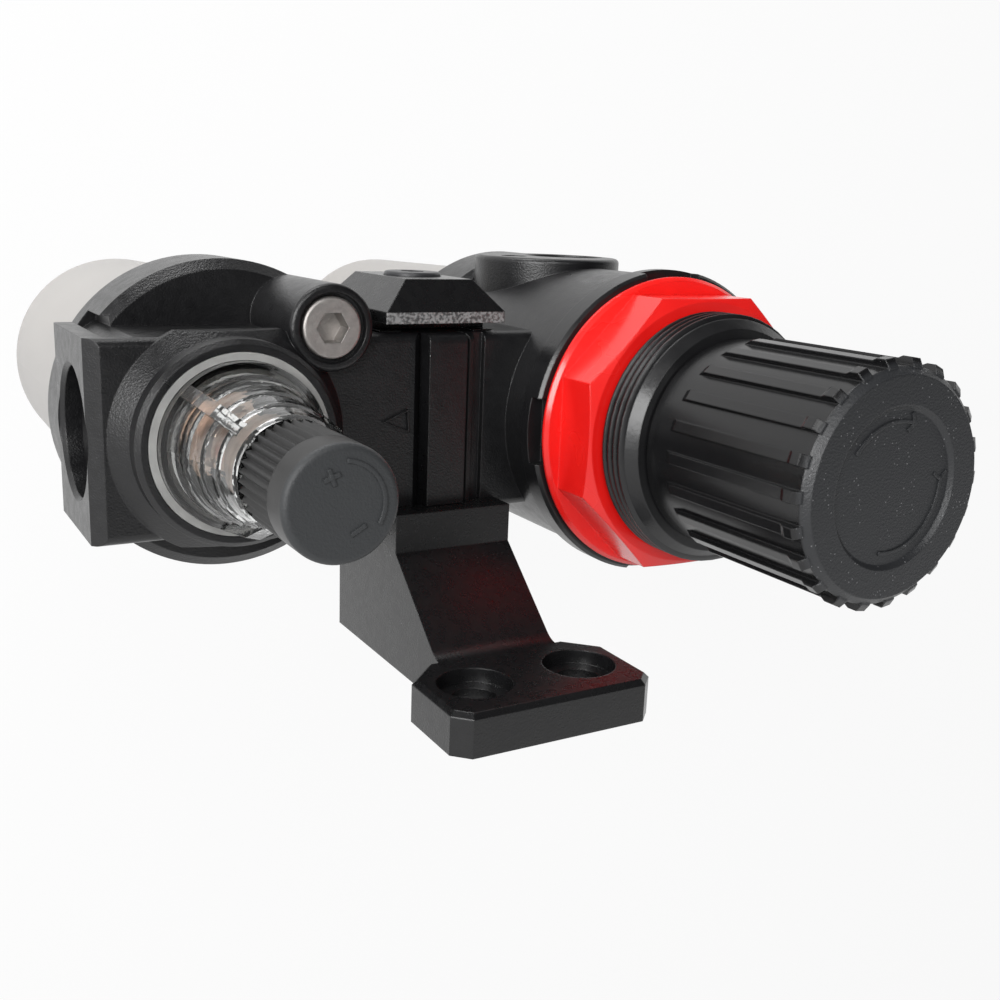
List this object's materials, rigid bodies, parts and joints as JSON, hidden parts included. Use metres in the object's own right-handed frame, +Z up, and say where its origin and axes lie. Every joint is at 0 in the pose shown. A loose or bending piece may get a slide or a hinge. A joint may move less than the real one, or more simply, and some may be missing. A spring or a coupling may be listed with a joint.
{
  "type": "filter regulator lubricator unit",
  "caption": "Compressed air filter regulator joined to a lubricator, with an adjusting knob, sight dome, bowls and a wall bracket.",
  "frame": {"origin": "on the wall face of the bracket, midway between its mounting holes", "axes": "+Z up along the knobs, bowls hang towards -Z; +X with the air flow, regulator to lubricator; +Y into the wall; gauge port faces -Y"},
  "size_m": [0.0837, 0.0432, 0.1364],
  "materials": {
    "cast_body": "satin black, fine texture",
    "clamp_black": "black, glossier than the bodies",
    "bonnet_black": "satin black",
    "nut_red": "glossy red",
    "knob_black": "black, speckled end",
    "drip_knob_black": "dark grey black, rubbery",
    "clear_plastic": "clear",
    "bowl_plastic": "milky translucent",
    "pale_plastic": "pale grey",
    "dark_plastic": "dark grey",
    "black_oxide": "blackened steel",
    "steel": "bright",
    "bright_plug": "bright plated",
    "brass": "turned",
    "aluminium": "turned",
    "rubber": "black rubber",
    "filter_media": "porous off-white"
  },
  "bodies": {
    "unit": {"regulator_body": "cast_body", "lubricator_body": "cast_body", "joint_spacer": "cast_body", "joint_seals": "rubber", "front_clamp": "clamp_black", "clamp_screw": "black_oxide", "wall_bracket": "clamp_black", "bonnet": "bonnet_black", "bonnet_nut": "nut_red", "valve_guide": "dark_plastic", "deflector": "dark_plastic", "filter_element": "filter_media", "filter_baffle": "dark_plastic", "filter_bowl": "bowl_plastic", "filter_bowl_seal": "rubber", "sight_dome": "clear_plastic", "dome_ring": "pale_plastic", "dome_seal": "rubber", "drip_tube": "brass", "drip_nozzle": "brass", "fill_plug": "bright_plug", "lubricator_bowl": "bowl_plastic", "lubricator_bowl_seal": "rubber", "siphon_tube": "clear_plastic", "oil_pick_up": "dark_plastic", "flow_flap": "dark_plastic", "regulating_spring": "steel", "valve_spring": "steel"},
    "adjuster": {"adjusting_screw": "steel"},
    "pressure_knob": {"regulator_knob": "knob_black"},
    "spring_carrier": {"spring_seat": "steel"},
    "piston": {"control_piston": "aluminium", "piston_seal": "rubber"},
    "valve": {"valve_poppet": "brass", "poppet_seal": "rubber"},
    "needle": {"drip_needle": "steel"},
    "drip_control": {"drip_knob": "drip_knob_black"},
    "drain_valve": {"drain_stem": "brass", "drain_seal": "rubber"},
    "drain_grip": {"drain_knob": "dark_plastic"},
    "ball": {"check_ball": "steel"}
  },
  "joints": [
    {"name": "pressure_turn", "type": "hinge", "parent": "unit", "child": "adjuster", "pos_m": [-0.0246, -0.02575, 0.0119], "axis": [0, 0, -1], "range_deg": [0, 1800]},
    {"name": "knob_lock", "type": "slide", "parent": "adjuster", "child": "pressure_knob", "axis": [0, 0, 1], "range_m": [0, 0.0035]},
    {"name": "seat_travel", "type": "slide", "parent": "unit", "child": "spring_carrier", "axis": [0, 0, -1], "range_m": [0, 0.0075], "deforming": ["regulating_spring"]},
    {"name": "piston_travel", "type": "slide", "parent": "unit", "child": "piston", "axis": [0, 0, -1], "range_m": [0, 0.0008], "stiffness_N_per_m": 500, "springref_m": -0.002},
    {"name": "valve_lift", "type": "slide", "parent": "unit", "child": "valve", "axis": [0, 0, -1], "range_m": [0, 0.0008], "deforming": ["valve_spring"]},
    {"name": "needle_lift", "type": "slide", "parent": "unit", "child": "needle", "axis": [0, 0, 1], "range_m": [0, 0.001]},
    {"name": "drip_turn", "type": "hinge", "parent": "needle", "child": "drip_control", "pos_m": [0.0234, -0.02575, 0.0019], "axis": [0, 0, 1], "range_deg": [0, 720]},
    {"name": "drain_lift", "type": "slide", "parent": "unit", "child": "drain_valve", "axis": [0, 0, 1], "range_m": [0, 0.002]},
    {"name": "drain_turn", "type": "hinge", "parent": "drain_valve", "child": "drain_grip", "pos_m": [-0.0246, -0.02575, -0.1081], "axis": [0, 0, 1], "range_deg": [0, 180]},
    {"name": "ball_lift", "type": "slide", "parent": "unit", "child": "ball", "axis": [0, 0, 1], "range_m": [0, 0.0008]}
  ],
  "couplings": [
    {"joint": "pressure_turn", "follows": "seat_travel", "rad_per_m": 4188.7},
    {"joint": "valve_lift", "follows": "piston_travel", "ratio": 1},
    {"joint": "drip_turn", "follows": "needle_lift", "rad_per_m": 12566},
    {"joint": "drain_turn", "follows": "drain_lift", "rad_per_m": 1570.8}
  ]
}
